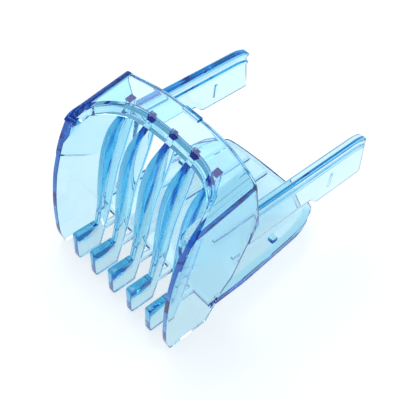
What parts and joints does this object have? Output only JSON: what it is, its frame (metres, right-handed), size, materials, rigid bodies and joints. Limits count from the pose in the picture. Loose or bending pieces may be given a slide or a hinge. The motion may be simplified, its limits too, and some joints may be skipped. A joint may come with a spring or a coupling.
{
  "type": "hair clipper guide comb",
  "caption": "Clear blue clip-on guide comb for a hair clipper: an arched hood over long square-footed teeth, a flat skin plate and two springy side arms that slide onto the clipper.",
  "frame": {"origin": "centre of the base of the bounding box, at the level of the teeth's soles", "axes": "+Z from the skin up to the hood, +Y from the tooth tips to the arm tips, +X to the comb's right; the comb is symmetric about X"},
  "size_m": [0.0436, 0.066, 0.0483],
  "materials": {
    "tinted_polycarbonate": "clear injection-moulded, gloss, light blue tint that deepens at the edges"
  },
  "bodies": {
    "comb": {"comb_tooth_1": "tinted_polycarbonate", "comb_tooth_2": "tinted_polycarbonate", "comb_tooth_3": "tinted_polycarbonate", "comb_tooth_4": "tinted_polycarbonate", "comb_tooth_5": "tinted_polycarbonate", "hood_catch": "tinted_polycarbonate", "hood_crown": "tinted_polycarbonate", "hood_front_lip": "tinted_polycarbonate", "hood_rear_bead": "tinted_polycarbonate", "left_cheek_panel": "tinted_polycarbonate", "left_hood_side": "tinted_polycarbonate", "left_plate_peg": "tinted_polycarbonate", "left_plate_rail": "tinted_polycarbonate", "plate_rib_1": "tinted_polycarbonate", "plate_rib_2": "tinted_polycarbonate", "plate_rib_3": "tinted_polycarbonate", "plate_rib_4": "tinted_polycarbonate", "plate_rib_5": "tinted_polycarbonate", "right_cheek_panel": "tinted_polycarbonate", "right_hood_side": "tinted_polycarbonate", "right_plate_peg": "tinted_polycarbonate", "right_plate_rail": "tinted_polycarbonate", "skin_plate": "tinted_polycarbonate", "tooth_finger_1": "tinted_polycarbonate", "tooth_finger_2": "tinted_polycarbonate", "tooth_finger_3": "tinted_polycarbonate", "tooth_finger_4": "tinted_polycarbonate", "tooth_finger_5": "tinted_polycarbonate"},
    "left_arm": {"left_arm_web": "tinted_polycarbonate", "left_arm_rail": "tinted_polycarbonate", "left_arm_ledge": "tinted_polycarbonate", "left_arm_nib": "tinted_polycarbonate"},
    "right_arm": {"right_arm_web": "tinted_polycarbonate", "right_arm_rail": "tinted_polycarbonate", "right_arm_ledge": "tinted_polycarbonate", "right_arm_nib": "tinted_polycarbonate"}
  },
  "joints": [
    {"name": "right_arm_flex", "type": "hinge", "parent": "comb", "child": "right_arm", "pos_m": [0.0215, -0.00739, 0.027], "axis": [0, 0, -1], "range_deg": [0, 2.5], "stiffness_Nm_per_rad": 0.66},
    {"name": "left_arm_flex", "type": "hinge", "parent": "comb", "child": "left_arm", "pos_m": [-0.0215, -0.00739, 0.027], "axis": [0, 0, 1], "range_deg": [0, 2.5], "stiffness_Nm_per_rad": 0.66}
  ]
}
